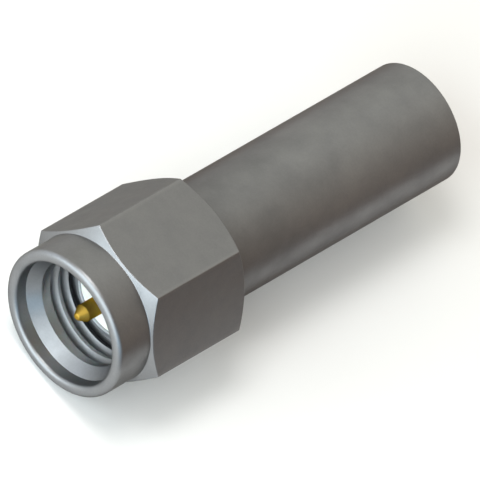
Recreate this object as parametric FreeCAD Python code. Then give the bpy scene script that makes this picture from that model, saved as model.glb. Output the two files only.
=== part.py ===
"""A straight coaxial cable plug with a 1/4-36 screw coupling, for a crimped 5 mm cable.

Millimetres. The plug's axis is Y, and the origin is on that axis at the mating reference plane,
which is the front face of the outer conductor. The mating side is -Y and the cable leaves towards +Y.
+Z is up when the plug lies on one flat of its nut. A name that ends in _y is a place along the axis.
"""

import FreeCAD
import Part

import math
import os

from FreeCAD import Vector

# Clearances
ASSEMBLED = 0.01  # between pieces that are pressed or slid together once
RUNNING = 0.08  # radial, round the turning nut's inside and round the ring in its groove
RING_SIDE_PLAY = 0.03  # each side of the retaining ring in the nut's groove
STOP_MARGIN = 0.02  # axial room that is left where the sliding nut reaches its limit
CUT_PAST = 1.0  # how far a cutting solid runs past the face it opens

# Mating face: outer conductor, dielectric and contact pin
outer_conductor_diameter = 4.59
mating_room = 0.50
dielectric_diameter = 4.10
dielectric_recess = 0.12
contact_pin_diameter = 0.92
contact_pin_reach = 2.17
contact_cone_length = 0.46
contact_nose_diameter = 0.30
contact_nose_radius = 0.14
contact_body_diameter = 1.27
contact_shoulder_recess = 0.05

# Coupling nut
nut_across_flats = 8.00
nut_length = 8.47
nut_overhang = 3.12
nut_float = 0.20
collar_diameter = 7.78
collar_length = 2.11
rim_round = 0.30
hex_chamfer_deg = 30.0
nut_rear_face_diameter = 7.70
mouth_diameter = 6.52
mouth_depth = 0.77
mouth_round = 0.25
lead_in_length = 0.61
edge_break = 0.10

# Retaining ring, a split ring of square wire
ring_width = 0.42
ring_thickness = 0.45
ring_engagement = 0.165
ring_split_deg = 28.0

# Gasket against the front shoulder
gasket_thickness = 0.60
gasket_to_thread = 0.07

# Front body
sleeve_length = 1.95
shoulder_to_groove = 1.00
groove_floor_diameter = 5.44
groove_to_joint = 0.76
shoulder_to_pocket = 0.50
pocket_diameter = 4.66

# Insulators and the captive flange of the contact
insulator_collar_length = 0.65
rear_insulator_length = 0.60
contact_flange_diameter = 2.00
contact_flange_length = 0.50

# Cable end of the contact
contact_barrel_length = 3.30
contact_barrel_diameter = 1.20
solder_cup_diameter = 0.96
solder_cup_depth = 2.40
solder_cup_cone = 0.24
solder_window_diameter = 0.50
solder_window_setback = 1.25

# Rear body with its crimp stem
air_bore_diameter = 2.76
cable_bore_diameter = 3.10
cable_stop_setback = 0.10
register_length = 1.80
stem_diameter = 3.96
stem_length = 10.10
stem_plain_length = 1.20
serration_pitch = 0.42
serration_depth = 0.11

# Crimp ferrule, the long plain barrel, which ends the plug
overall_length = 24.10
ferrule_outer_diameter = 6.35
ferrule_inner_diameter = 5.40
entry_diameter = 5.76
entry_depth = 3.80

# Radii and places that follow from the sizes above
body_radius = ferrule_outer_diameter / 2
sleeve_radius = outer_conductor_diameter / 2
thread_minor_radius = sleeve_radius + mating_room
pocket_radius = pocket_diameter / 2
corner_radius = nut_across_flats / 2 / math.cos(math.radians(30))
nut_bore_radius = body_radius + RUNNING
ring_outer_radius = nut_bore_radius + ring_engagement
ring_inner_radius = ring_outer_radius - ring_width
rim_wall = (collar_diameter - mouth_diameter) / 2

nut_front_y = -nut_overhang
nut_rear_y = nut_front_y + nut_length
collar_end_y = nut_front_y + collar_length
groove_start_y = sleeve_length + shoulder_to_groove
groove_end_y = groove_start_y + ring_thickness + 2 * (nut_float + STOP_MARGIN)
groove_middle_y = (groove_start_y + groove_end_y) / 2
joint_y = groove_end_y + groove_to_joint
pocket_y = sleeve_length + shoulder_to_pocket
insulator_end_y = pocket_y + insulator_collar_length
rear_insulator_end_y = insulator_end_y + rear_insulator_length
contact_end_y = insulator_end_y + contact_barrel_length
register_end_y = joint_y + register_length
stem_end_y = register_end_y + stem_length
ferrule_end_y = nut_front_y + overall_length


def outline_edges(corners):
    """The edges of a closed outline of (radius, y, rounding) corners, each rounding a tangent arc."""
    points = [Vector(radius, y, 0) for radius, y, rounding in corners]
    starts, ends, arcs = [], [], []
    for i, corner in enumerate(points):
        rounding = corners[i][2]
        if not rounding:
            starts.append(corner)
            ends.append(corner)
            arcs.append(None)
            continue
        back = (points[i - 1] - corner).normalize()
        ahead = (points[(i + 1) % len(points)] - corner).normalize()
        half_angle = back.getAngle(ahead) / 2
        reach = rounding / math.tan(half_angle)
        bulge = rounding / math.sin(half_angle) - rounding
        starts.append(corner + back * reach)
        ends.append(corner + ahead * reach)
        arcs.append(corner + (back + ahead).normalize() * bulge)
    edges = []
    for i in range(len(points)):
        if arcs[i]:
            edges.append(Part.Arc(starts[i], arcs[i], ends[i]).toShape())
        following = starts[(i + 1) % len(points)]
        if ends[i].distanceToPoint(following) > 1e-6:
            edges.append(Part.LineSegment(ends[i], following).toShape())
    return edges


def turned(corners, sweep_deg=360.0):
    """A solid turned about Y from an outline of (radius, y) or (radius, y, rounding) corners."""
    outline = [(*corner, 0)[:3] for corner in corners]
    face = Part.Face(Part.Wire(outline_edges(outline)))
    solid = face.revolve(Vector(0, 0, 0), Vector(0, 1, 0), sweep_deg)
    return solid if solid.Volume > 0 else solid.reversed()


def chamfer_run(radial):
    """The axial length of the nut's end chamfer over a radial distance."""
    return radial * math.tan(math.radians(hex_chamfer_deg))


def hexagon_prism(start_y, end_y):
    """The nut's hexagon, with one flat facing down."""
    turns = [math.radians(60 * k) for k in range(7)]
    corners = [Vector(corner_radius * math.cos(t), start_y, corner_radius * math.sin(t)) for t in turns]
    return Part.Face(Part.makePolygon(corners)).extrude(Vector(0, end_y - start_y, 0))


def nut_blank():
    """Hexagon with chamfered ends and a round collar in front."""
    beyond = corner_radius + CUT_PAST
    collar_radius = collar_diameter / 2
    rear_radius = nut_rear_face_diameter / 2
    chamfers = turned(
        [
            (0, collar_end_y),
            (collar_radius, collar_end_y),
            (beyond, collar_end_y + chamfer_run(beyond - collar_radius)),
            (beyond, nut_rear_y - chamfer_run(beyond - rear_radius)),
            (rear_radius, nut_rear_y),
            (0, nut_rear_y),
        ]
    )
    collar = turned(
        [
            (0, nut_front_y),
            (collar_radius, nut_front_y, min(rim_round, rim_wall * 0.50)),
            (collar_radius, collar_end_y),
            (0, collar_end_y),
        ]
    )
    return hexagon_prism(collar_end_y, nut_rear_y).common(chamfers).fuse(collar)


def coupling_nut():
    """The nut, bored through its mouth, lead-in cone, thread, body bore and ring groove."""
    mouth_radius = mouth_diameter / 2
    mouth_edge = min(mouth_round, rim_wall * 0.45)
    mouth_end_y = nut_front_y + mouth_depth
    thread_start_y = mouth_end_y + lead_in_length
    thread_end_y = sleeve_length - nut_float - STOP_MARGIN
    groove_radius = ring_outer_radius + RUNNING
    groove_half = ring_thickness / 2 + RING_SIDE_PLAY
    bore = turned(
        [
            (0, nut_front_y - CUT_PAST),
            (mouth_radius + mouth_edge, nut_front_y - CUT_PAST),
            (mouth_radius + mouth_edge, nut_front_y),
            (mouth_radius, nut_front_y, mouth_edge),
            (mouth_radius, mouth_end_y),
            (thread_minor_radius, thread_start_y),
            (thread_minor_radius, thread_end_y),
            (nut_bore_radius, thread_end_y),
            (nut_bore_radius, groove_middle_y - groove_half),
            (groove_radius, groove_middle_y - groove_half),
            (groove_radius, groove_middle_y + groove_half),
            (nut_bore_radius, groove_middle_y + groove_half),
            (nut_bore_radius, nut_rear_y - edge_break),
            (nut_bore_radius + edge_break, nut_rear_y),
            (nut_bore_radius + edge_break, nut_rear_y + CUT_PAST),
            (0, nut_rear_y + CUT_PAST),
        ]
    )
    return nut_blank().cut(bore).removeSplitter()


def retaining_ring():
    """The ring that holds the nut on the body, with its split at the top."""
    half = ring_thickness / 2
    ring = turned(
        [
            (ring_inner_radius, groove_middle_y - half),
            (ring_outer_radius, groove_middle_y - half),
            (ring_outer_radius, groove_middle_y + half),
            (ring_inner_radius, groove_middle_y + half),
        ],
        360 - ring_split_deg,
    )
    ring.rotate(Vector(0, 0, 0), Vector(0, 1, 0), ring_split_deg / 2 - 90)
    return ring


def gasket():
    """The soft sealing ring round the sleeve, against the front shoulder."""
    inner = sleeve_radius + ASSEMBLED
    outer = thread_minor_radius - gasket_to_thread
    rounding = (outer - inner) / 5
    front_y = sleeve_length - gasket_thickness
    return turned(
        [
            (inner, front_y, rounding),
            (outer, front_y, rounding),
            (outer, sleeve_length),
            (inner, sleeve_length),
        ]
    )


def front_body():
    """The outer conductor's sleeve, the gasket's shoulder and the groove for the retaining ring."""
    floor_radius = groove_floor_diameter / 2
    dielectric_radius = dielectric_diameter / 2
    lip = edge_break / 2
    return turned(
        [
            (dielectric_radius, 0),
            (sleeve_radius - lip, 0),
            (sleeve_radius, lip),
            (sleeve_radius, sleeve_length),
            (body_radius - edge_break, sleeve_length),
            (body_radius, sleeve_length + edge_break),
            (body_radius, groove_start_y),
            (floor_radius, groove_start_y),
            (floor_radius, groove_end_y),
            (body_radius, groove_end_y),
            (body_radius, joint_y),
            (pocket_radius, joint_y),
            (pocket_radius, pocket_y),
            (dielectric_radius, pocket_y),
        ]
    )


def front_insulator():
    """The stepped dielectric that carries the contact, with a recess behind for the contact's flange."""
    front_radius = dielectric_diameter / 2 - ASSEMBLED
    rear_radius = pocket_radius - ASSEMBLED
    hole_radius = contact_body_diameter / 2 + ASSEMBLED
    flange_radius = contact_flange_diameter / 2 + ASSEMBLED
    flange_y = insulator_end_y - contact_flange_length
    return turned(
        [
            (hole_radius, dielectric_recess),
            (front_radius, dielectric_recess),
            (front_radius, pocket_y + ASSEMBLED),
            (rear_radius, pocket_y + ASSEMBLED),
            (rear_radius, insulator_end_y),
            (flange_radius, insulator_end_y),
            (flange_radius, flange_y),
            (hole_radius, flange_y),
        ]
    )


def rear_insulator():
    """The washer that closes the contact's flange in from behind."""
    inner = contact_body_diameter / 2 + ASSEMBLED
    outer = pocket_radius - ASSEMBLED
    return turned(
        [
            (inner, insulator_end_y),
            (outer, insulator_end_y),
            (outer, rear_insulator_end_y),
            (inner, rear_insulator_end_y),
        ]
    )


def center_contact():
    """The plated contact: coned pin, captive flange, and a solder cup with its side window."""
    pin_radius = contact_pin_diameter / 2
    contact_radius = contact_body_diameter / 2
    flange_radius = contact_flange_diameter / 2
    barrel_radius = contact_barrel_diameter / 2
    cup_radius = solder_cup_diameter / 2
    tip_y = -contact_pin_reach
    flange_y = insulator_end_y - contact_flange_length + ASSEMBLED
    flange_end_y = insulator_end_y - ASSEMBLED
    cup_floor_y = contact_end_y - solder_cup_depth
    contact = turned(
        [
            (0, tip_y),
            (contact_nose_diameter / 2, tip_y, contact_nose_radius),
            (pin_radius, tip_y + contact_cone_length),
            (pin_radius, contact_shoulder_recess),
            (contact_radius, contact_shoulder_recess),
            (contact_radius, flange_y),
            (flange_radius, flange_y),
            (flange_radius, flange_end_y),
            (contact_radius, flange_end_y),
            (contact_radius, rear_insulator_end_y),
            (barrel_radius, rear_insulator_end_y),
            (barrel_radius, contact_end_y),
            (cup_radius, contact_end_y),
            (cup_radius, cup_floor_y),
            (0, cup_floor_y - solder_cup_cone),
        ]
    )
    window = Part.makeCylinder(
        solder_window_diameter / 2,
        contact_barrel_diameter,
        Vector(0, contact_end_y - solder_window_setback, 0),
        Vector(0, 0, 1),
    )
    return contact.cut(window)


def serrations(start_y, end_y):
    """Corners of the ring serrations on the stem, crest and root in turn."""
    crest = stem_diameter / 2
    count = int((end_y - start_y) / serration_pitch)
    corners = []
    for k in range(count):
        crest_y = start_y + k * serration_pitch
        corners += [(crest, crest_y), (crest - serration_depth, crest_y + serration_pitch / 2)]
    return corners + [(crest, start_y + count * serration_pitch)]


def rear_body():
    """The spigot pressed into the front body, the ferrule's register, and the serrated crimp stem."""
    spigot_radius = pocket_radius - ASSEMBLED
    register_radius = ferrule_inner_diameter / 2 - ASSEMBLED
    stem_radius = stem_diameter / 2
    air_radius = air_bore_diameter / 2
    cable_radius = cable_bore_diameter / 2
    cable_stop_y = contact_end_y + cable_stop_setback
    outside = [
        (spigot_radius, rear_insulator_end_y),
        (spigot_radius, joint_y),
        (register_radius, joint_y),
        (register_radius, register_end_y - edge_break),
        (register_radius - edge_break, register_end_y),
        (stem_radius, register_end_y),
        *serrations(register_end_y + serration_pitch, stem_end_y - stem_plain_length),
        (stem_radius, stem_end_y - edge_break),
        (stem_radius - edge_break, stem_end_y),
    ]
    inside = [
        (cable_radius + edge_break, stem_end_y),
        (cable_radius, stem_end_y - edge_break),
        (cable_radius, cable_stop_y),
        (air_radius, cable_stop_y),
        (air_radius, rear_insulator_end_y),
    ]
    return turned(outside + inside)


def crimp_ferrule():
    """The plain barrel behind the nut, open at the cable end."""
    inner = ferrule_inner_diameter / 2
    entry = entry_diameter / 2
    return turned(
        [
            (inner, joint_y),
            (body_radius, joint_y),
            (body_radius, ferrule_end_y, edge_break),
            (entry + edge_break, ferrule_end_y),
            (entry, ferrule_end_y - edge_break),
            (entry, ferrule_end_y - entry_depth),
            (inner, ferrule_end_y - entry_depth),
        ]
    )


PIECES = {
    "coupling_nut": coupling_nut,
    "retaining_ring": retaining_ring,
    "gasket": gasket,
    "front_body": front_body,
    "front_insulator": front_insulator,
    "rear_insulator": rear_insulator,
    "center_contact": center_contact,
    "rear_body": rear_body,
    "crimp_ferrule": crimp_ferrule,
}


def main():
    os.makedirs("parts", exist_ok=True)
    for name, make in PIECES.items():
        shape = make()
        shape.exportStep(f"parts/{name}.step")
        print(f"{name}: {len(shape.Solids)} solid, {shape.Volume:.3f} mm3, valid {shape.isValid()}")


if __name__ == "__main__":
    main()
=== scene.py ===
"""Looks of a straight coaxial crimp plug with a screw coupling, built around its CAD model.

The plug's axis is Y. The mating side is -Y, the cable leaves towards +Y, and the plug lies on a flat of
its nut. The property groups hold lengths in metres, as the file does. Pieces are drawn in millimetres,
where bevels and merges have room, and are brought to metres as they are finished.
"""

import math
from types import SimpleNamespace

import bmesh
import bpy
from mathutils import Matrix, Vector


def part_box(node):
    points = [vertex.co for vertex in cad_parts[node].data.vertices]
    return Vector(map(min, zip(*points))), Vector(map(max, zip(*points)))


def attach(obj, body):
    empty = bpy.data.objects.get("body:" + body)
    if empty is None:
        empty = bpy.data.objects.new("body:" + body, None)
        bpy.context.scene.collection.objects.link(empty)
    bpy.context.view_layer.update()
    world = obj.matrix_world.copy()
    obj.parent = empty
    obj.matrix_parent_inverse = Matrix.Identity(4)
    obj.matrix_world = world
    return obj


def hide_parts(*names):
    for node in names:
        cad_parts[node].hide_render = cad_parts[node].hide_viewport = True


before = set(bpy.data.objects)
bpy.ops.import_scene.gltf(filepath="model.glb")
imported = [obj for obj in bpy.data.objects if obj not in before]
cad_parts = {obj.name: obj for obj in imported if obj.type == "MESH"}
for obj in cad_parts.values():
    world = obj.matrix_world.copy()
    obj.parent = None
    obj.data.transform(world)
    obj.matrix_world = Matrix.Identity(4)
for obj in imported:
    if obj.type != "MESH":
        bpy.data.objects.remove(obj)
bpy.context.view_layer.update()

bl_info = {
    "name": "Coaxial Plug Workshop",
    "version": (1, 0, 0),
    "blender": (4, 5, 0),
    "location": "3D View > Sidebar > Coaxial Plug",
    "description": "Builds a straight coaxial crimp plug and its stage, one piece at a time",
    "category": "Object",
}

MM = 0.001  # metres in a millimetre
COLUMNS = 240  # faces round a turned piece, a multiple of six so that the hexagon's corners fall on edges
ARC_STEPS = 6  # faces across a rounded edge
MERGE = 1e-4  # millimetres under which two points are one
BROKEN_EDGE = 0.03  # the deburred edge of a machined piece, in millimetres
EASED_EDGE = 0.10  # the rounder edge of an end that something slides over, in millimetres
HEXAGON_EDGE = 0.035  # how far the hexagon's sharp edges are broken, in millimetres
SLEEVE_EDGE = 0.05  # the outer edge of the mating face, in millimetres
STEP_EDGE = 0.02  # the edge of a step too low for a wider one, in millimetres
SPIGOT_PLAY = 0.01  # millimetres between the spigot and the pocket that holds it
SHARP_ANGLE = math.radians(34)  # an edge that turns further than this is shaded as sharp
NUT_SHADE_MM = 9  # how far the painted shade beside the nut reaches along the axis
FLOOR_SIDES = 96  # sides of the round floor
FLOOR_DROP = 0.02  # millimetres from the nut's flat down to the floor, so that the two don't coincide
CARD_RISE = 0.10  # millimetres from the nut's flat up to the brown card

# Grit of the tumbling that follows the lathe, in millimetres. The real grit is near 0.03, which is too
# fine to show, so it is drawn three times as coarse.
GRAIN_MM = 0.10

NUT_LOW, NUT_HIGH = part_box("coupling_nut")
FRONT_BODY_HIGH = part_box("front_body")[1]
REAR_BODY_LOW, REAR_BODY_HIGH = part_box("rear_body")
FERRULE_LOW, FERRULE_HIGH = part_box("crimp_ferrule")
CONTACT_LOW, CONTACT_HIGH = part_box("center_contact")
GASKET_LOW, GASKET_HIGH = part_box("gasket")
INSULATOR_LOW, INSULATOR_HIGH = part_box("front_insulator")


def linear(hex_colour):
    """An sRGB hex colour as the linear red, green, blue and alpha that shaders take."""
    channels = [int(hex_colour[i : i + 2], 16) / 255 for i in (0, 2, 4)]
    return (*(c / 12.92 if c <= 0.04045 else ((c + 0.055) / 1.055) ** 2.4 for c in channels), 1.0)


def length(name, description, metres):
    """A length or a place along the axis, in metres."""
    return bpy.props.FloatProperty(
        name=name, description=description, default=metres, unit="LENGTH", precision=5
    )


def colour(name, description, hex_colour):
    """A colour, given as sRGB hex."""
    return bpy.props.FloatVectorProperty(
        name=name, description=description, default=linear(hex_colour), size=4, subtype="COLOR", min=0, max=1
    )


class CoaxPlugNut(bpy.types.PropertyGroup):
    """Sizes and colour of the coupling nut"""

    across_flats: length("Across flats", "Width of the hexagon over two flats", NUT_HIGH.z - NUT_LOW.z)
    front: length("Rim", "Place of the rim along the axis", NUT_LOW.y)
    rear: length("Rear face", "Place of the rear face along the axis", NUT_HIGH.y)
    collar_diameter: length("Collar diameter", "Round collar in front of the hexagon", 7.78 * MM)
    collar_length: length("Collar length", "From the rim to the hexagon", 2.11 * MM)
    rim_round: length("Rim rounding", "Radius of the rim's outer edge", 0.30 * MM)
    chamfer_angle: bpy.props.FloatProperty(
        name="Chamfer angle",
        description="Slope of the hexagon's end chamfers from its end faces",
        default=math.radians(30),
        subtype="ANGLE",
    )
    rear_face_diameter: length("Rear face diameter", "Where the rear chamfer starts", 7.70 * MM)
    mouth_diameter: length("Mouth diameter", "Counterbore in the rim", 6.52 * MM)
    mouth_depth: length("Mouth depth", "Depth of the counterbore", 0.77 * MM)
    mouth_round: length("Mouth rounding", "Radius of the rim's inner edge", 0.25 * MM)
    lead_in_length: length("Lead-in length", "Cone from the mouth to the thread", 0.61 * MM)
    thread_minor_diameter: length("Thread minor diameter", "Over the crests of the 1/4-36 thread", 5.59 * MM)
    thread_major_diameter: length("Thread major diameter", "Over the roots of the thread", 6.30 * MM)
    thread_pitch: length("Thread pitch", "From one thread to the next, 36 to the inch", 25.4 / 36 * MM)
    thread_land: length("Thread land", "Plain bore left at each end of the thread", 0.10 * MM)
    thread_end: length("Thread end", "Place where the thread's bore opens into the body bore", 1.73 * MM)
    body_bore_diameter: length("Body bore diameter", "Bore that runs on the plug's body", 6.51 * MM)
    groove_diameter: length("Ring groove diameter", "Floor of the groove for the retaining ring", 7.00 * MM)
    groove_front: length("Ring groove front", "Place of the groove's front wall", 3.14 * MM)
    groove_rear: length("Ring groove rear", "Place of the groove's rear wall", 3.65 * MM)
    steel: colour("Steel", "Colour of the nut's stainless steel", "8D8E90")


class CoaxPlugBody(bpy.types.PropertyGroup):
    """Sizes and colour of the front body, the rear body and the retaining ring"""

    body_diameter: length("Body diameter", "Outside of the front body, which the nut runs on", 6.35 * MM)
    sleeve_diameter: length("Outer conductor", "Outside of the sleeve at the reference plane", 4.59 * MM)
    sleeve_length: length("Sleeve length", "From the reference plane to the shoulder", 1.95 * MM)
    sleeve_bore: length("Sleeve bore", "Diameter that takes the dielectric", 4.10 * MM)
    groove_diameter: length("Ring groove diameter", "Floor of the body's groove for the ring", 5.44 * MM)
    groove_front: length("Ring groove front", "Place of the groove's front wall", 2.95 * MM)
    groove_rear: length("Ring groove rear", "Place of the groove's rear wall", 3.84 * MM)
    joint: length("Joint", "Place where the front body ends", FRONT_BODY_HIGH.y)
    pocket_diameter: length("Pocket diameter", "Bore that takes the insulators and the spigot", 4.66 * MM)
    pocket: length("Pocket floor", "Place of the pocket's front wall", 2.45 * MM)
    spigot_front: length("Spigot front", "Place of the rear body's front face", REAR_BODY_LOW.y)
    register_diameter: length("Register diameter", "What the ferrule slides onto", 5.38 * MM)
    register_end: length("Register end", "Place where the crimp stem starts", 6.40 * MM)
    stem_diameter: length("Stem diameter", "Over the crests of the serrations", 3.96 * MM)
    stem_end: length("Stem end", "Place of the stem's rear end", REAR_BODY_HIGH.y)
    serration_pitch: length("Serration pitch", "From one ring of the stem to the next", 0.42 * MM)
    serration_depth: length("Serration depth", "From crest to root", 0.11 * MM)
    serration_count: bpy.props.IntProperty(
        name="Serrations", description="Number of rings cut in the stem", default=20, min=1
    )
    cable_bore: length("Cable bore", "Bore for the cable's dielectric", 3.10 * MM)
    cable_stop: length("Cable stop", "Place where the cable's dielectric stops", 6.50 * MM)
    air_bore: length("Air bore", "Bore round the contact's barrel", 2.76 * MM)
    steel: colour("Steel", "Colour of the body's stainless steel", "C2C6CA")
    bronze: colour("Bronze", "Colour of the retaining ring's spring bronze", "9C7448")


class CoaxPlugFerrule(bpy.types.PropertyGroup):
    """Sizes and colours of the crimp ferrule"""

    front: length("Front end", "Place of the end inside the nut", FERRULE_LOW.y)
    rear: length("Rear end", "Place of the cable end", FERRULE_HIGH.y)
    outer_diameter: length("Outside diameter", "Plain outside of the barrel", 6.35 * MM)
    inner_diameter: length("Inside diameter", "Bore round the crimp stem", 5.40 * MM)
    entry_diameter: length("Entry diameter", "Wider bore that takes the cable's jacket", 5.76 * MM)
    entry_depth: length("Entry depth", "Depth of the wider bore", 3.80 * MM)
    edge_round: length("Edge rounding", "Radius of the rear end's outer edge", 0.10 * MM)
    steel: colour("Steel", "Colour of the ferrule's stainless steel", "8F9092")


class CoaxPlugInsulation(bpy.types.PropertyGroup):
    """Sizes and colours of the insulators and the gasket"""

    face: length("Face", "Place of the dielectric's front face", INSULATOR_LOW.y)
    diameter: length("Front diameter", "The part inside the sleeve", 4.08 * MM)
    collar_diameter: length("Collar diameter", "The part inside the pocket", 4.64 * MM)
    collar_front: length("Collar front", "Place where the collar starts", 2.46 * MM)
    rear: length("Rear face", "Place of the rear face", INSULATOR_HIGH.y)
    hole_diameter: length("Hole diameter", "Hole for the contact", 1.29 * MM)
    recess_diameter: length("Recess diameter", "Recess for the contact's flange", 2.02 * MM)
    recess_floor: length("Recess floor", "Place of the recess's floor", 2.60 * MM)
    gasket_inner_diameter: length("Gasket inside", "On the sleeve", 4.61 * MM)
    gasket_outer_diameter: length("Gasket outside", "Below the thread's crests", 5.45 * MM)
    gasket_round: length("Gasket rounding", "Radius of the gasket's front edges", 0.08 * MM)
    white: colour("Dielectric", "Colour of the fluoropolymer", "F1EFEA")
    rubber: colour("Gasket", "Colour of the silicone rubber", "2B2B2D")


class CoaxPlugContact(bpy.types.PropertyGroup):
    """Sizes and colour of the centre contact"""

    tip: length("Tip", "Place of the pin's tip", CONTACT_LOW.y)
    pin_diameter: length("Pin diameter", "The mating pin", 0.92 * MM)
    cone_length: length("Cone length", "From the tip to the full pin", 0.46 * MM)
    nose_diameter: length("Nose diameter", "Flat of the tip before it is rounded", 0.30 * MM)
    nose_round: length("Nose rounding", "Radius round the tip", 0.14 * MM)
    shoulder: length("Shoulder", "Place where the pin meets the thicker body", 0.05 * MM)
    body_diameter: length("Body diameter", "The part inside the dielectric", 1.27 * MM)
    flange_diameter: length("Flange diameter", "The captive flange", 2.00 * MM)
    flange_front: length("Flange front", "Place of the flange's front face", 2.61 * MM)
    flange_rear: length("Flange rear", "Place of the flange's rear face", 3.09 * MM)
    barrel_front: length("Barrel front", "Place where the solder barrel starts", 3.70 * MM)
    barrel_diameter: length("Barrel diameter", "Outside of the solder barrel", 1.20 * MM)
    rear: length("Rear end", "Place of the barrel's rear end", CONTACT_HIGH.y)
    cup_diameter: length("Cup diameter", "Bore for the cable's centre conductor", 0.96 * MM)
    cup_depth: length("Cup depth", "Depth of that bore", 2.40 * MM)
    cup_cone: length("Cup cone", "Depth of the drill point below it", 0.24 * MM)
    window_diameter: length("Window diameter", "Side hole for the solder", 0.50 * MM)
    window_setback: length("Window setback", "From the rear end to the window", 1.25 * MM)
    gold: colour("Gold", "Colour of the gold plate", "A68639")


class CoaxPlugStage(bpy.types.PropertyGroup):
    """Floor, lamps and camera"""

    floor: colour("Floor", "Colour of the paper that the plug lies on", "F7F6F4")
    card: colour("Brown card", "Colour of the card beside the plug, seen only in the metal", "5A3E30")
    floor_radius: length("Floor radius", "How far the floor reaches", 3.0)
    view_width: length("View width", "Width of what the camera sees at the plug", 23.163 * MM)
    lens: bpy.props.FloatProperty(
        name="Lens",
        description="Focal length, very long so that parallel edges stay parallel",
        default=1500.0,
        unit="CAMERA",
    )
    front_lamp: bpy.props.FloatProperty(
        name="Front lamp", description="Radiance of the large soft box in front", default=3.6, min=0
    )
    side_lamps: bpy.props.FloatProperty(
        name="Side lamps", description="Radiance of the left and right soft boxes", default=1.45, min=0
    )
    key_lamp: bpy.props.FloatProperty(
        name="Key lamp", description="Radiance of the lamp high on the left", default=7.8, min=0
    )
    room_light: bpy.props.FloatProperty(
        name="Room light", description="Strength of the room's light", default=0.80, min=0
    )
    front_light: colour("Front light", "Colour of the front soft box", "EBF9FF")
    left_light: colour("Left light", "Colour of the soft box on the left", "DCEBF8")
    right_light: colour("Right light", "Colour of the soft box on the right", "BCE6FF")
    bright_side: colour("Bright side", "Light of the room from behind and above", "FFFEF3")
    warm_side: colour("Warm side", "Light of the room from the right, behind, near the floor", "A58A76")
    dim_side: colour("Dim side", "Light of the room from the right, in front", "4C372B")


def in_mm(group):
    """A property group's values, with its lengths in millimetres."""
    values = {}
    for entry in group.bl_rna.properties:
        if entry.identifier in ("rna_type", "name"):
            continue
        value = getattr(group, entry.identifier)
        if entry.type == "FLOAT" and entry.is_array:
            value = tuple(value)
        elif entry.type == "FLOAT" and entry.unit == "LENGTH":
            value /= MM
        values[entry.identifier] = value
    return SimpleNamespace(**values)


def add_node(tree, kind, inputs=None, **settings):
    """Adds a node and its settings. Each input, by name or number, gets a value, or a link from a socket
    or from a node's first output."""
    node = tree.nodes.new(kind)
    for name, value in settings.items():
        setattr(node, name, value)
    for key, value in (inputs or {}).items():
        if isinstance(value, bpy.types.Node):
            value = value.outputs[0]
        if isinstance(value, bpy.types.NodeSocket):
            tree.links.new(value, node.inputs[key])
        else:
            node.inputs[key].default_value = value
    return node


def new_material(name):
    """An empty material with a surface shader, and its node tree."""
    material = bpy.data.materials.new(name)
    material.use_nodes = True
    tree = material.node_tree
    tree.nodes.clear()
    shader = add_node(tree, "ShaderNodeBsdfPrincipled")
    add_node(tree, "ShaderNodeOutputMaterial", {"Surface": shader})
    return material, tree, shader


def dress(tree, shader, base, shade, gloss, height, depth):
    """Gives a shader its base colour times a shade, its roughness, and a relief of a depth in
    millimetres."""
    tone = add_node(tree, "ShaderNodeVectorMath", {0: base[:3], "Scale": shade}, operation="SCALE")
    bump = add_node(tree, "ShaderNodeBump", {"Distance": depth * MM, "Height": height})
    for socket, node in (("Base Color", tone), ("Roughness", gloss), ("Normal", bump)):
        tree.links.new(node.outputs[0], shader.inputs[socket])


def place_in_mm(tree):
    """Nodes for a point's place in millimetres, its distance from the axis, and its place on the turned
    profile (distance from the axis, place along it)."""
    here = add_node(tree, "ShaderNodeTexCoord").outputs["Object"]
    place = add_node(tree, "ShaderNodeVectorMath", {0: here, "Scale": 1 / MM}, operation="SCALE")
    across = add_node(tree, "ShaderNodeVectorMath", {0: place, 1: (1, 0, 1)}, operation="MULTIPLY")
    radius = add_node(tree, "ShaderNodeVectorMath", {0: across}, operation="LENGTH").outputs["Value"]
    along = add_node(tree, "ShaderNodeSeparateXYZ", {0: place}).outputs["Y"]
    profile = add_node(tree, "ShaderNodeCombineXYZ", {"X": radius, "Y": along})
    return place, radius, profile


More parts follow.
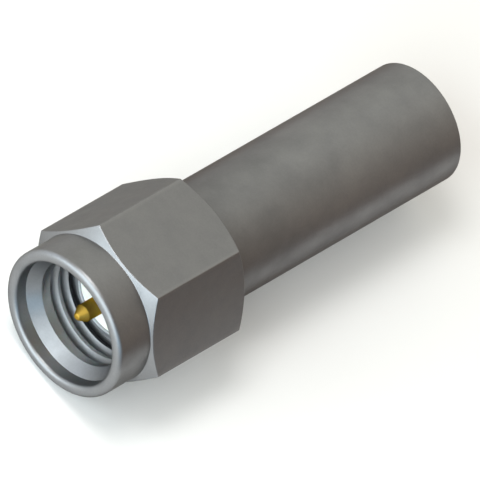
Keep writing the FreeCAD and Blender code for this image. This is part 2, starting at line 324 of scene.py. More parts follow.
def turned_metal(
    name, base, edge, roughness, cloud_mm, cloud_depth, feed_mm, feed_depth,
    flats_from=None, worn_from=None, nut_shade_from=None,
):
    """A metal piece cut on a lathe: clouds in its colour and shine, feed lines round the axis, and
    where it has a hexagon, drawn lines along the flats and corners polished by handling.

    edge is the metal's tint at a grazing look. cloud_depth is the share by which clouds shade it.
    feed_mm is the spacing of the lines, and feed_depth their height, in millimetres. Painted shade, for the
    shade beside the nut, darkens the metal from a place along the axis and is gone a set length further."""
    material, tree, shader = new_material(name)
    place, radius, profile = place_in_mm(tree)
    coarse = {"Vector": place, "Scale": 1 / cloud_mm, "Detail": 3.0, "Roughness": 0.55}
    clouds = add_node(tree, "ShaderNodeTexNoise", coarse)
    fine = {"Vector": place, "Scale": 1 / GRAIN_MM, "Detail": 2.0, "Roughness": 0.6}
    grain = add_node(tree, "ShaderNodeTexNoise", fine)
    lines = add_node(tree, "ShaderNodeTexNoise", {"Vector": profile, "Scale": 1 / feed_mm, "Detail": 1.0})
    if flats_from:
        # Lines 25 times as long as wide, on what lies outside the collar and doesn't face along the axis.
        long = add_node(tree, "ShaderNodeVectorMath", {0: place, 1: (1, 0.04, 1)}, operation="MULTIPLY")
        drawn = add_node(tree, "ShaderNodeTexNoise", {"Vector": long, "Scale": 1 / feed_mm, "Detail": 2.0})
        normal = add_node(tree, "ShaderNodeNewGeometry").outputs["Normal"]
        facing = add_node(tree, "ShaderNodeSeparateXYZ", {0: normal}).outputs["Y"]
        level = add_node(tree, "ShaderNodeMath", {0: facing}, operation="ABSOLUTE")
        outside = add_node(tree, "ShaderNodeMath", {0: radius, 1: flats_from}, operation="GREATER_THAN")
        sideways = add_node(tree, "ShaderNodeMath", {0: level, 1: 0.4}, operation="LESS_THAN")
        on_flat = add_node(tree, "ShaderNodeMath", {0: outside, 1: sideways}, operation="MULTIPLY")
        lines = add_node(tree, "ShaderNodeMix", {0: on_flat, 2: lines, 3: drawn}, data_type="FLOAT")
    shade = add_node(
        tree, "ShaderNodeMapRange", {0: clouds, 1: 0.3, 2: 0.7, 3: 1 - cloud_depth, 4: 1 + cloud_depth}
    )
    fleck = add_node(tree, "ShaderNodeMapRange", {0: grain, 1: 0.25, 2: 0.75, 3: 0.96, 4: 1.04})
    shade = add_node(tree, "ShaderNodeMath", {0: shade, 1: fleck}, operation="MULTIPLY")
    gloss = add_node(
        tree, "ShaderNodeMapRange", {0: clouds, 1: 0.25, 2: 0.75, 3: roughness * 1.1, 4: roughness * 0.9}
    )
    if worn_from:
        limits = {0: radius, 1: worn_from, 2: worn_from + 0.1, 3: 1.0, 4: 1.12}
        worn = add_node(tree, "ShaderNodeMapRange", limits, interpolation_type="SMOOTHSTEP")
        shade = add_node(tree, "ShaderNodeMath", {0: shade, 1: worn}, operation="MULTIPLY")
        gloss = add_node(tree, "ShaderNodeMath", {0: gloss, 1: worn}, operation="DIVIDE")
    # Painted shade: the metal darkens towards the nut, standing in for the shade the nut casts beside it.
    if nut_shade_from:
        along = add_node(tree, "ShaderNodeSeparateXYZ", {0: profile}).outputs["Y"]
        limits = {0: along, 1: nut_shade_from, 2: nut_shade_from + NUT_SHADE_MM, 3: 0.86, 4: 1.02}
        painted_shade = add_node(tree, "ShaderNodeMapRange", limits)
        shade = add_node(tree, "ShaderNodeMath", {0: shade, 1: painted_shade}, operation="MULTIPLY")
    relief = add_node(tree, "ShaderNodeMath", {0: grain, 1: 0.5, 2: lines}, operation="MULTIPLY_ADD")
    dress(tree, shader, base, shade, gloss, relief, feed_depth)
    shader.inputs["Metallic"].default_value = 1.0
    shader.inputs["Specular Tint"].default_value = edge
    return material


def nut_steel(nut):
    """Passivated stainless steel, turned from drawn hexagon bar: a soft grey shine with faint rings on
    the turned faces and faint lines along the flats. The feed is drawn at 0.14 mm, where the real one,
    near 0.05, is too fine to show."""
    return turned_metal(
        "passivated stainless steel, turned hexagon bar",
        nut.steel,
        linear("9A948E"),
        roughness=0.40, cloud_mm=0.9, cloud_depth=0.05, feed_mm=0.14, feed_depth=0.0012,
        flats_from=3.95, worn_from=4.50,
    )


def lightened_body_steel(body):
    """Passivated stainless steel, fine turned, with fainter rings than the nut. It is painted lighter and
    cooler than the nut's steel, as light on its face deep inside the nut's mouth.
    """
    return turned_metal(
        "passivated stainless steel, fine turned",
        body.steel,
        linear("A3A3A3"),
        roughness=0.46, cloud_mm=0.8, cloud_depth=0.04, feed_mm=0.12, feed_depth=0.0010,
    )


def ferrule_steel(ferrule):
    """Passivated stainless steel tube, annealed for crimping: a satin, cloudy grey, with painted shade that
    darkens it a little towards the nut, where the nut shades it."""
    return turned_metal(
        "passivated stainless steel, annealed satin tube",
        ferrule.steel,
        linear("7D6E63"),
        roughness=0.42, cloud_mm=1.6, cloud_depth=0.09, feed_mm=0.16, feed_depth=0.0010,
        nut_shade_from=5.0,
    )


def gold_plate(contact):
    """Gold plate on turned beryllium copper: warm, satin and paler at a grazing look."""
    return turned_metal(
        "gold plate on turned copper alloy",
        contact.gold,
        linear("D9C48A"),
        roughness=0.38, cloud_mm=0.4, cloud_depth=0.06, feed_mm=0.09, feed_depth=0.0008,
    )


def spring_bronze(body):
    """Bare spring bronze wire, drawn square: a reddish, slightly tarnished metal."""
    return turned_metal(
        "bare spring bronze, drawn wire",
        body.bronze,
        linear("C9A27A"),
        roughness=0.36, cloud_mm=0.5, cloud_depth=0.10, feed_mm=0.10, feed_depth=0.0010,
    )


def fluoropolymer(insulation):
    """White fluoropolymer, turned from rod: bright, waxy and a little see-through, with a faint haze of
    0.7 mm and tool rings that are drawn at 0.12 mm, because the real ones are too fine to show."""
    material, tree, shader = new_material("white fluoropolymer, turned rod")
    place, _, profile = place_in_mm(tree)
    rings = add_node(tree, "ShaderNodeTexNoise", {"Vector": profile, "Scale": 1 / 0.12, "Detail": 1.0})
    haze = add_node(tree, "ShaderNodeTexNoise", {"Vector": place, "Scale": 1 / 0.7, "Detail": 2.0})
    shade = add_node(tree, "ShaderNodeMapRange", {0: haze, 1: 0.3, 2: 0.7, 3: 0.97, 4: 1.0})
    gloss = add_node(tree, "ShaderNodeMapRange", {0: rings, 1: 0.3, 2: 0.7, 3: 0.38, 4: 0.50})
    dress(tree, shader, insulation.white, shade, gloss, rings, 0.001)
    shader.inputs["IOR"].default_value = 1.35
    shader.inputs["Subsurface Weight"].default_value = 0.2
    shader.inputs["Subsurface Scale"].default_value = 0.3 * MM
    return material


def silicone_rubber(insulation):
    """Moulded silicone rubber: dull, dark and slightly dusty, with specks of about 0.25 mm."""
    material, tree, shader = new_material("moulded silicone rubber")
    place, _, _ = place_in_mm(tree)
    dust = add_node(tree, "ShaderNodeTexNoise", {"Vector": place, "Scale": 1 / 0.25, "Detail": 3.0})
    shade = add_node(tree, "ShaderNodeMapRange", {0: dust, 1: 0.3, 2: 0.8, 3: 0.8, 4: 1.5})
    gloss = add_node(tree, "ShaderNodeMapRange", {0: dust, 1: 0.3, 2: 0.7, 3: 0.5, 4: 0.65})
    dress(tree, shader, insulation.rubber, shade, gloss, dust, 0.003)
    shader.inputs["IOR"].default_value = 1.41
    return material


def rounded(corners):
    """The points of an outline of (radius, y) or (radius, y, rounding) corners. A rounding becomes an arc
    of ARC_STEPS faces. The end corners of an open outline have none."""
    points = [Vector(corner[:2]) for corner in corners]
    outline = []
    for i, corner in enumerate(corners):
        if len(corner) == 2:
            outline.append(points[i])
            continue
        back = (points[i - 1] - points[i]).normalized()
        ahead = (points[(i + 1) % len(points)] - points[i]).normalized()
        half = back.angle(ahead) / 2
        centre = points[i] + (back + ahead).normalized() * (corner[2] / math.sin(half))
        start = points[i] + back * (corner[2] / math.tan(half)) - centre
        end = points[i] + ahead * (corner[2] / math.tan(half)) - centre
        turn = math.pi - 2 * half
        for k in range(ARC_STEPS + 1):
            share = k / ARC_STEPS
            arm = (start * math.sin((1 - share) * turn) + end * math.sin(share * turn)) / math.sin(turn)
            outline.append(centre + arm)
    return outline


def turned(corners, is_open=False):
    """A mesh turned about Y, from its outline's corners or from a function that gives them for an angle.
    An open outline leaves the mesh open between its two ends."""
    mesh = bpy.data.meshes.new("turned")
    work = bmesh.new()
    rings = []
    for i in range(COLUMNS):
        angle = math.tau * i / COLUMNS
        outline = rounded(corners(angle) if callable(corners) else corners)
        rings.append([work.verts.new((r * math.cos(angle), y, r * math.sin(angle))) for r, y in outline])
    for i, ring in enumerate(rings):
        beside = rings[(i + 1) % COLUMNS]
        for k in range(len(ring) - 1 if is_open else len(ring)):
            after = (k + 1) % len(ring)
            work.faces.new((ring[k], beside[k], beside[after], ring[after]))
    bmesh.ops.remove_doubles(work, verts=work.verts, dist=MERGE)
    work.to_mesh(mesh)
    work.free()
    return mesh


def add_object(name, data):
    """A new object in the scene."""
    new = bpy.data.objects.new(name, data)
    bpy.context.scene.collection.objects.link(new)
    return new


def applied(mesh, name, kind, inputs=None, **settings):
    """The plain mesh that one modifier makes of a mesh. Inputs are a node tree's, by name."""
    carrier = add_object(name, mesh)
    modifier = carrier.modifiers.new(name, kind)
    for setting, value in settings.items():
        setattr(modifier, setting, value)
    for item in modifier.node_group.interface.items_tree if kind == "NODES" else ():
        if item.in_out == "INPUT" and item.name in (inputs or {}):
            modifier[item.identifier] = inputs[item.name]
    graph = bpy.context.evaluated_depsgraph_get()
    result = bpy.data.meshes.new_from_object(
        carrier.evaluated_get(graph), preserve_all_data_layers=True, depsgraph=graph
    )
    bpy.data.objects.remove(carrier)
    bpy.data.meshes.remove(mesh)
    return result


def finish_piece(name, mesh, material, body, node):
    """Closes, shades and places a piece, which then stands for a CAD node and rides on a body."""
    work = bmesh.new()
    work.from_mesh(mesh)
    bmesh.ops.remove_doubles(work, verts=work.verts, dist=MERGE)
    bmesh.ops.dissolve_degenerate(work, edges=work.edges, dist=MERGE)
    bmesh.ops.recalc_face_normals(work, faces=work.faces)
    loose = [edge for edge in work.edges if len(edge.link_faces) != 2]
    if loose:
        raise RuntimeError(f"{name} isn't closed: {len(loose)} edges don't have two faces")
    work.to_mesh(mesh)
    work.free()
    mesh.materials.clear()
    mesh.materials.append(material)
    mesh.shade_smooth()
    mesh.set_sharp_from_angle(angle=SHARP_ANGLE)
    mesh = applied(mesh, name, "WEIGHTED_NORMAL", keep_sharp=True, weight=60)
    mesh.transform(Matrix.Scale(MM, 4))
    mesh.name = name
    piece = add_object(name, mesh)
    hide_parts(node)
    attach(piece, body)
    return piece


def sheet(name, corners, material):
    """A flat sheet of the stage, with its corners in metres."""
    mesh = bpy.data.meshes.new(name)
    mesh.from_pydata(corners, [], [range(len(corners))])
    mesh.materials.append(material)
    return add_object(name, mesh)


def ridge_tree():
    """A node tree that cuts ridges round the axis and joins them to the piece they belong to.

    Without a lead they are separate rings, and with a lead of one pitch they are a right-handed helix
    that fades out at both ends. Four rows of points make a ridge: both edges of its crest and both of
    its root. Rows past either end fold onto it and are merged away."""
    tree = bpy.data.node_groups.new("Ridges round an axis", "GeometryNodeTree")
    lengths = ("Start", "End", "Pitch", "Lead", "Crest Radius", "Root Radius", "Fade Length")
    sockets = {"Geometry": "NodeSocketGeometry", "Material": "NodeSocketMaterial"}
    sockets |= dict.fromkeys(("Columns", "Ridges"), "NodeSocketInt")
    sockets |= dict.fromkeys((*lengths, "Crest Share", "Root Share"), "NodeSocketFloat")
    for name, kind in sockets.items():
        tree.interface.new_socket(name=name, in_out="INPUT", socket_type=kind)
    tree.interface.new_socket(name="Geometry", in_out="OUTPUT", socket_type="NodeSocketGeometry")
    given = add_node(tree, "NodeGroupInput").outputs
    spot = add_node(tree, "ShaderNodeSeparateXYZ", {0: add_node(tree, "GeometryNodeInputPosition")})
    known = {socket.name: socket for socket in (*given, *spot.outputs) if socket.name}
    steps = (
        # The sheet's points: a column for each angle, and four rows for each ridge.
        ("columns", "ADD", "Columns", 1),
        ("rows", "MULTIPLY_ADD", "Ridges", 4, 2),
        ("last row", "SUBTRACT", "rows", 1),
        ("turn", "ADD", "X", 0.5),
        ("height", "ADD", "Y", 0.5),
        ("rough row", "MULTIPLY", "height", "last row"),
        ("row", "ROUND", "rough row"),
        ("near row", "ADD", "row", 0.1),
        ("part ridge", "DIVIDE", "near row", 4),
        ("ridge", "FLOOR", "part ridge"),
        ("rows before", "MULTIPLY", "ridge", 4),
        ("step", "SUBTRACT", "row", "rows before"),
        ("past crest", "GREATER_THAN", "step", 0.5),
        ("on root", "GREATER_THAN", "step", 1.5),
        ("past root", "GREATER_THAN", "step", 2.5),
        # How far along the axis each point is, in pitches and then in length.
        ("flat share", "ADD", "Crest Share", "Root Share"),
        ("flank share", "MULTIPLY_ADD", "flat share", -0.5, 0.5),
        ("share 1", "MULTIPLY_ADD", "past crest", "Crest Share", "ridge"),
        ("share 2", "MULTIPLY_ADD", "on root", "flank share", "share 1"),
        ("share 3", "MULTIPLY_ADD", "past root", "Root Share", "share 2"),
        ("level", "MULTIPLY_ADD", "share 3", "Pitch", "Start"),
        ("advance", "MULTIPLY", "Lead", "turn"),
        ("wound", "SUBTRACT", "level", "advance"),
        ("not before", "MAXIMUM", "wound", "Start"),
        ("along", "MINIMUM", "not before", "End"),
        # The depth, which fades out towards both ends.
        ("from start", "SUBTRACT", "along", "Start"),
        ("from end", "SUBTRACT", "End", "along"),
        ("nearer end", "MINIMUM", "from start", "from end"),
        ("fade share", "DIVIDE", "nearer end", "Fade Length"),
        ("capped", "MINIMUM", "fade share", 1),
        ("quarter turn", "MULTIPLY", "capped", math.pi / 2),
        ("swell", "SINE", "quarter turn"),
        ("fade", "MULTIPLY", "swell", "swell"),
        ("full depth", "SUBTRACT", "Root Radius", "Crest Radius"),
        ("depth", "MULTIPLY", "full depth", "fade"),
        ("radius", "MULTIPLY_ADD", "depth", "on root", "Crest Radius"),
        # The place round the axis.
        ("angle", "MULTIPLY", "turn", math.tau),
        ("cosine", "COSINE", "angle"),
        ("sine", "SINE", "angle"),
        ("across", "MULTIPLY", "radius", "cosine"),
        ("up", "MULTIPLY", "radius", "sine"),
    )
    for name, operation, *terms in steps:
        inputs = {i: known.get(term, term) for i, term in enumerate(terms)}
        known[name] = add_node(tree, "ShaderNodeMath", inputs, operation=operation)
    grid = add_node(
        tree,
        "GeometryNodeMeshGrid",
        {"Size X": 1.0, "Size Y": 1.0, "Vertices X": known["columns"], "Vertices Y": known["rows"]},
    )
    place = add_node(
        tree, "ShaderNodeCombineXYZ", {"X": known["across"], "Y": known["along"], "Z": known["up"]}
    )
    ridges = add_node(tree, "GeometryNodeSetPosition", {"Geometry": grid, "Position": place})
    joined = add_node(tree, "GeometryNodeJoinGeometry", {"Geometry": given["Geometry"]})
    tree.links.new(ridges.outputs[0], joined.inputs["Geometry"])
    merged = add_node(tree, "GeometryNodeMergeByDistance", {"Geometry": joined, "Distance": MERGE})
    real = add_node(tree, "GeometryNodeRealizeInstances", {"Geometry": merged})
    painted = add_node(tree, "GeometryNodeSetMaterial", {"Geometry": real, "Material": given["Material"]})
    add_node(tree, "NodeGroupOutput", {0: painted})
    return tree


class COAXPLUG_OT_coupling_nut(bpy.types.Operator):
    """Build the coupling nut: hexagon, collar, mouth, lead-in cone, helical thread and ring groove"""

    bl_idname = "coax_plug.coupling_nut"
    bl_label = "Coupling nut"

    def execute(self, context):
        nut = in_mm(context.scene.coax_plug_nut)
        collar = nut.collar_diameter / 2
        rear_face = nut.rear_face_diameter / 2
        mouth = nut.mouth_diameter / 2
        minor = nut.thread_minor_diameter / 2
        bore = nut.body_bore_diameter / 2
        groove = nut.groove_diameter / 2
        slope = math.tan(nut.chamfer_angle)
        hexagon_front = nut.front + nut.collar_length
        thread_front = nut.front + nut.mouth_depth + nut.lead_in_length
        thread = (thread_front + nut.thread_land, nut.thread_end - nut.thread_land)

        def corners(angle):
            """From the thread's rear end round the outside to its front end."""
            flat = nut.across_flats / 2 / math.cos(angle % math.radians(60) - math.radians(30))
            return [
                (minor, thread[1]),
                (minor, nut.thread_end, BROKEN_EDGE),
                (bore, nut.thread_end),
                (bore, nut.groove_front, BROKEN_EDGE),
                (groove, nut.groove_front),
                (groove, nut.groove_rear),
                (bore, nut.groove_rear, BROKEN_EDGE),
                (bore, nut.rear, EASED_EDGE),
                (rear_face, nut.rear),
                (flat, nut.rear - (flat - rear_face) * slope),
                (flat, hexagon_front + (flat - collar) * slope),
                (collar, hexagon_front),
                (collar, nut.front, nut.rim_round),
                (mouth, nut.front, nut.mouth_round),
                (mouth, nut.front + nut.mouth_depth, BROKEN_EDGE),
                (minor, thread_front, BROKEN_EDGE),
                (minor, thread[0]),
            ]

        mesh = applied(
            turned(corners, is_open=True), "broken edges", "BEVEL",
            width=HEXAGON_EDGE, segments=3, limit_method="ANGLE", angle_limit=math.radians(35),
        )
        material = nut_steel(nut)
        mesh = applied(
            mesh,
            "thread",
            "NODES",
            node_group=ridge_tree(),
            inputs={
                "Material": material,
                "Columns": COLUMNS,
                "Ridges": math.ceil((thread[1] - thread[0]) / nut.thread_pitch) + 2,
                "Start": thread[0],
                "End": thread[1],
                "Pitch": nut.thread_pitch,
                "Lead": nut.thread_pitch,
                "Crest Radius": minor,
                "Root Radius": nut.thread_major_diameter / 2,
                "Crest Share": 0.25,
                "Root Share": 0.125,
                "Fade Length": 0.35,
            },
        )
        finish_piece("nut_hexagon_and_thread", mesh, material, "coupling_nut", "coupling_nut")
        return {"FINISHED"}


class COAXPLUG_OT_bodies(bpy.types.Operator):
    """Build the front body with its outer conductor, the rear body with its serrated stem, and the ring"""

    bl_idname = "coax_plug.bodies"
    bl_label = "Bodies and retaining ring"

    def execute(self, context):
        body = in_mm(context.scene.coax_plug_body)
        steel = lightened_body_steel(body)
        outside = body.body_diameter / 2
        sleeve = body.sleeve_diameter / 2
        bore = body.sleeve_bore / 2
        groove = body.groove_diameter / 2
        pocket = body.pocket_diameter / 2
        front = turned(
            [
                (bore, 0, BROKEN_EDGE),
                (sleeve, 0, SLEEVE_EDGE),
                (sleeve, body.sleeve_length),
                (outside, body.sleeve_length, EASED_EDGE),
                (outside, body.groove_front, BROKEN_EDGE),
                (groove, body.groove_front),
                (groove, body.groove_rear),
                (outside, body.groove_rear, BROKEN_EDGE),
                (outside, body.joint, BROKEN_EDGE),
                (pocket, body.joint, BROKEN_EDGE),
                (pocket, body.pocket),
                (bore, body.pocket, BROKEN_EDGE),
            ]
        )
        finish_piece("outer_conductor_and_shoulder", front, steel, "plug", "front_body")

        spigot = pocket - SPIGOT_PLAY
        register = body.register_diameter / 2
        stem = body.stem_diameter / 2
        cable = body.cable_bore / 2
        air = body.air_bore / 2
        first = body.register_end + body.serration_pitch
        last = first + body.serration_count * body.serration_pitch
        rear = turned(
            [
                (stem, last),
                (stem, body.stem_end, EASED_EDGE),
                (cable, body.stem_end, EASED_EDGE),
                (cable, body.cable_stop),
                (air, body.cable_stop, BROKEN_EDGE),
                (air, body.spigot_front, BROKEN_EDGE),
                (spigot, body.spigot_front, BROKEN_EDGE),
                (spigot, body.joint),
                (register, body.joint, BROKEN_EDGE),
                (register, body.register_end, EASED_EDGE),
                (stem, body.register_end),
                (stem, first),
            ],
            is_open=True,
        )
        rear = applied(
            rear,
            "serrations",
            "NODES",
            node_group=ridge_tree(),
            inputs={
                "Material": steel,
                "Columns": COLUMNS,
                "Ridges": body.serration_count,
                "Start": first,
                "End": last,
                "Pitch": body.serration_pitch,
                "Lead": 0.0,
                "Crest Radius": stem,
                "Root Radius": stem - body.serration_depth,
                "Crest Share": 0.08,
                "Root Share": 0.08,
                "Fade Length": 0.05,
            },
        )
        finish_piece("spigot_and_serrated_stem", rear, steel, "plug", "rear_body")

        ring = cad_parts["retaining_ring"]
        ring.material_slots[0].material = spring_bronze(body)
        return {"FINISHED"}


class COAXPLUG_OT_crimp_ferrule(bpy.types.Operator):
    """Build the crimp ferrule, the long plain barrel"""

    bl_idname = "coax_plug.crimp_ferrule"
    bl_label = "Crimp ferrule"

    def execute(self, context):
        ferrule = in_mm(context.scene.coax_plug_ferrule)
        outer = ferrule.outer_diameter / 2
        inner = ferrule.inner_diameter / 2
        entry = ferrule.entry_diameter / 2
        mesh = turned(
            [
                (inner, ferrule.front, BROKEN_EDGE),
                (outer, ferrule.front, BROKEN_EDGE),
                (outer, ferrule.rear, ferrule.edge_round),
                (entry, ferrule.rear, EASED_EDGE),
                (entry, ferrule.rear - ferrule.entry_depth),
                (inner, ferrule.rear - ferrule.entry_depth, BROKEN_EDGE),
            ]
        )
        steel = ferrule_steel(ferrule)
        finish_piece("crimp_barrel", mesh, steel, "plug", "crimp_ferrule")
        return {"FINISHED"}


class COAXPLUG_OT_insulation(bpy.types.Operator):
    """Build the white dielectric round the pin and the soft gasket, and finish the rear insulator"""

    bl_idname = "coax_plug.insulation"
    bl_label = "Insulators and gasket"

    def execute(self, context):
        sizes = in_mm(context.scene.coax_plug_insulation)
        white = fluoropolymer(sizes)
        hole = sizes.hole_diameter / 2
        front = sizes.diameter / 2
        collar = sizes.collar_diameter / 2
        recess = sizes.recess_diameter / 2
        mesh = turned(
            [
                (hole, sizes.face, BROKEN_EDGE),
                (front, sizes.face, BROKEN_EDGE),
                (front, sizes.collar_front),
                (collar, sizes.collar_front, BROKEN_EDGE),
                (collar, sizes.rear, BROKEN_EDGE),
                (recess, sizes.rear, BROKEN_EDGE),
                (recess, sizes.recess_floor),
                (hole, sizes.recess_floor, BROKEN_EDGE),
            ]
        )
        finish_piece("dielectric_face_and_collar", mesh, white, "plug", "front_insulator")

        inner = sizes.gasket_inner_diameter / 2
        outer = sizes.gasket_outer_diameter / 2
        low, high = GASKET_LOW.y / MM, GASKET_HIGH.y / MM
        mesh = turned(
            [
                (inner, low, sizes.gasket_round),
                (outer, low, sizes.gasket_round),
                (outer, high, BROKEN_EDGE),
                (inner, high, BROKEN_EDGE),
            ]
        )
        finish_piece("sealing_ring", mesh, silicone_rubber(sizes), "plug", "gasket")

        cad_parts["rear_insulator"].material_slots[0].material = white
        return {"FINISHED"}


class COAXPLUG_OT_center_contact(bpy.types.Operator):
    """Build the gold-plated contact: coned pin, captive flange, and solder cup with its window"""

    bl_idname = "coax_plug.center_contact"
    bl_label = "Centre contact"

    def execute(self, context):
        contact = in_mm(context.scene.coax_plug_contact)
        pin = contact.pin_diameter / 2
        thick = contact.body_diameter / 2
        flange = contact.flange_diameter / 2
        barrel = contact.barrel_diameter / 2
        cup = contact.cup_diameter / 2
        cup_floor = contact.rear - contact.cup_depth
        mesh = turned(
            [
                (0, contact.tip),
                (contact.nose_diameter / 2, contact.tip, contact.nose_round),
                (pin, contact.tip + contact.cone_length, BROKEN_EDGE),
                (pin, contact.shoulder),
                (thick, contact.shoulder, BROKEN_EDGE),
                (thick, contact.flange_front),
                (flange, contact.flange_front, BROKEN_EDGE),
                (flange, contact.flange_rear, BROKEN_EDGE),
                (thick, contact.flange_rear),
                (thick, contact.barrel_front, STEP_EDGE),
                (barrel, contact.barrel_front),
                (barrel, contact.rear, BROKEN_EDGE),
                (cup, contact.rear, BROKEN_EDGE),
                (cup, cup_floor),
                (0, cup_floor - contact.cup_cone),
            ],
            is_open=True,
        )
        cutter_mesh = bpy.data.meshes.new("window drill")
        work = bmesh.new()
        upright = Matrix.Translation((0, contact.rear - contact.window_setback, contact.barrel_diameter / 2))
        radius = contact.window_diameter / 2
        bmesh.ops.create_cone(
            work, cap_ends=True, segments=48, radius1=radius, radius2=radius,
            depth=contact.barrel_diameter, matrix=upright,
        )
        work.to_mesh(cutter_mesh)
        work.free()
        drill = add_object("window drill", cutter_mesh)
        mesh = applied(
            mesh, "solder window", "BOOLEAN", operation="DIFFERENCE", solver="EXACT", object=drill
        )
        bpy.data.objects.remove(drill)
        bpy.data.meshes.remove(cutter_mesh)
        gold = gold_plate(contact)
        finish_piece("pin_and_solder_cup", mesh, gold, "plug", "center_contact")
        return {"FINISHED"}


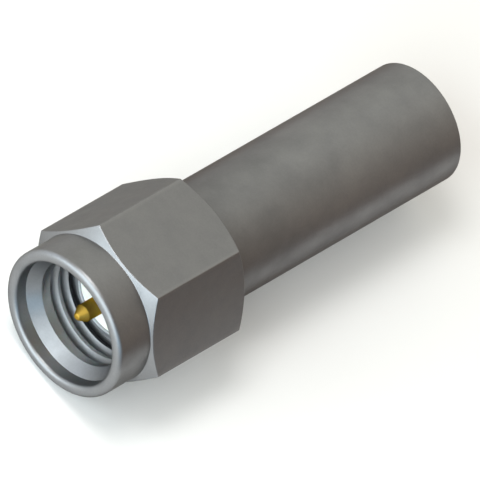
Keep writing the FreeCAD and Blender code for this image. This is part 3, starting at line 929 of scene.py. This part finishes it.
class COAXPLUG_OT_stage(bpy.types.Operator):
    """Build the floor, the soft light and the camera"""

    bl_idname = "coax_plug.stage"
    bl_label = "Stage"

    def execute(self, context):
        stage = context.scene.coax_plug_stage
        self.make_floor(stage)
        self.make_dark_reflection_card(stage)
        self.make_world(context.scene, stage)
        self.make_lamps(stage)
        self.make_camera(context.scene, stage)
        context.scene.view_settings.view_transform = "Standard"
        return {"FINISHED"}

    def make_floor(self, stage):
        """A large sheet of matt paper under the nut's lower flat, with fibres of about 0.5 mm."""
        material, tree, shader = new_material("matt paper")
        place, _, _ = place_in_mm(tree)
        fibre = add_node(tree, "ShaderNodeTexNoise", {"Vector": place, "Scale": 1 / 0.5, "Detail": 2.0})
        gloss = add_node(tree, "ShaderNodeMapRange", {0: fibre, 3: 0.85, 4: 0.95})
        tree.links.new(gloss.outputs[0], shader.inputs["Roughness"])
        shader.inputs["Base Color"].default_value = stage.floor
        shader.inputs["Specular IOR Level"].default_value = 0.2
        reach = Vector((stage.floor_radius, 0, NUT_LOW.z - FLOOR_DROP * MM))
        turns = [Matrix.Rotation(math.tau * i / FLOOR_SIDES, 3, "Z") for i in range(FLOOR_SIDES)]
        floor = sheet("floor", [turn @ reach for turn in turns], material)

    def make_dark_reflection_card(self, stage):
        """A brown card flat on the floor, to the right of the plug and out of the shot: a painted dark
        reflection.
        The metal shows it as a dark side of the room. The camera doesn't see it, and it throws no shadow."""
        material, _, shader = new_material("brown card")
        shader.inputs["Base Color"].default_value = stage.card
        shader.inputs["Roughness"].default_value = 1.0
        shader.inputs["Specular IOR Level"].default_value = 0.0
        left, right, front, rear = 18, 120, -60, 140
        level = NUT_LOW.z / MM + CARD_RISE
        corners = [(left, front, level), (right, front, level), (right, rear, level), (left, rear, level)]
        card = sheet("brown card", [Vector(corner) * MM for corner in corners], material)
        card.visible_camera = card.visible_shadow = card.visible_diffuse = False

    def make_world(self, scene, stage):
        """Light of a plain room, bright behind and above, and dim and brown on the right in front."""
        world = bpy.data.worlds.new("plain room")
        world.use_nodes = True
        scene.world = world
        tree = world.node_tree
        tree.nodes.clear()
        direction = add_node(tree, "ShaderNodeTexCoord").outputs["Generated"]
        lean = add_node(
            tree, "ShaderNodeVectorMath", {0: direction, 1: (-0.5, 0.8, 0.33)}, operation="DOT_PRODUCT"
        ).outputs["Value"]
        share = add_node(tree, "ShaderNodeMapRange", {0: lean, 1: -1.0, 2: 1.0})
        ramp = add_node(tree, "ShaderNodeValToRGB", {0: share})
        ramp.color_ramp.interpolation = "B_SPLINE"
        stops = ramp.color_ramp.elements
        stops[0].position, stops[0].color = 0.0, stage.dim_side
        stops[1].position, stops[1].color = 0.90, stage.bright_side
        stops.new(0.50).color = stage.warm_side
        light = add_node(tree, "ShaderNodeBackground", {"Color": ramp, "Strength": stage.room_light})
        add_node(tree, "ShaderNodeOutputWorld", {"Surface": light})

    def make_lamps(self, stage):
        """Three soft boxes that stand on the floor, in front and on both sides, and a key lamp high on the
        left. Each has its place, what it faces and its width and height in millimetres."""
        front, side, key = stage.front_lamp, stage.side_lamps, stage.key_lamp
        lamps = (
            ("front soft box", (-20, -146, 104), (-20, 0, 104), (300, 216), front, stage.front_light),
            ("left soft box", (-105, -35, 27), (0, 0, 27), (100, 62), side, stage.left_light),
            ("right soft box", (95, -50, 22), (0, 0, 22), (90, 52), side, stage.right_light),
            ("key lamp", (-75, -45, 220), (0, 8, 0), (90, 90), key, (1, 1, 1)),
        )
        for name, place, target, size, radiance, tint in lamps:
            lamp = bpy.data.lights.new(name, "AREA")
            lamp.shape = "RECTANGLE"
            lamp.size, lamp.size_y = (extent * MM for extent in size)
            lamp.energy = radiance * math.pi * lamp.size * lamp.size_y
            lamp.color = tint[:3]
            holder = add_object(name, lamp)
            holder.location = Vector(place) * MM
            holder.rotation_euler = (Vector(target) - Vector(place)).to_track_quat("-Z", "Y").to_euler()
            holder.visible_camera = False

    def make_camera(self, scene, stage):
        """A very long lens, so that the view is the isometric one of the photograph. The plug's axis runs
        to the upper right, and the nut's upper flat faces up and a little to the left."""
        right = Vector((0.6124, 0.7071, 0.3536)).normalized()
        back = Vector((0.2113, -0.5774, 0.7887)).normalized()
        up = back.cross(right)
        aim = Vector((0.6799, 8.458, -0.2180)) * MM
        camera = bpy.data.cameras.new("camera")
        camera.lens = stage.lens
        camera.sensor_width = 36.0
        camera.clip_start = 0.01
        camera.clip_end = 10.0
        holder = add_object("camera", camera)
        distance = stage.lens / camera.sensor_width * stage.view_width
        holder.matrix_world = Matrix.Translation(aim + back * distance) @ Matrix(
            (right, up, back)
        ).transposed().to_4x4()
        scene.camera = holder


STEPS = {
    "coax_plug_nut": (CoaxPlugNut, COAXPLUG_OT_coupling_nut),
    "coax_plug_body": (CoaxPlugBody, COAXPLUG_OT_bodies),
    "coax_plug_ferrule": (CoaxPlugFerrule, COAXPLUG_OT_crimp_ferrule),
    "coax_plug_insulation": (CoaxPlugInsulation, COAXPLUG_OT_insulation),
    "coax_plug_contact": (CoaxPlugContact, COAXPLUG_OT_center_contact),
    "coax_plug_stage": (CoaxPlugStage, COAXPLUG_OT_stage),
}


class COAXPLUG_PT_workshop(bpy.types.Panel):
    """Sizes, colours and building steps of the plug"""

    bl_label = "Coaxial Plug"
    bl_space_type = "VIEW_3D"
    bl_region_type = "UI"
    bl_category = "Coaxial Plug"

    def draw(self, context):
        for place, (group, operator) in STEPS.items():
            box = self.layout.box()
            box.label(text=operator.bl_label)
            for name in group.__annotations__:
                box.prop(getattr(context.scene, place), name)
            box.operator(operator.bl_idname)


CLASSES = (*(entry for step in STEPS.values() for entry in step), COAXPLUG_PT_workshop)


def register():
    for entry in CLASSES:
        bpy.utils.register_class(entry)
    for place, (group, _) in STEPS.items():
        setattr(bpy.types.Scene, place, bpy.props.PointerProperty(type=group))


def unregister():
    for place in STEPS:
        delattr(bpy.types.Scene, place)
    for entry in reversed(CLASSES):
        bpy.utils.unregister_class(entry)


def main():
    """Builds every piece and the stage in order."""
    register()
    bpy.context.scene.unit_settings.length_unit = "MILLIMETERS"
    bpy.ops.coax_plug.coupling_nut()
    bpy.ops.coax_plug.bodies()
    bpy.ops.coax_plug.crimp_ferrule()
    bpy.ops.coax_plug.insulation()
    bpy.ops.coax_plug.center_contact()
    bpy.ops.coax_plug.stage()


if __name__ == "__main__":
    main()
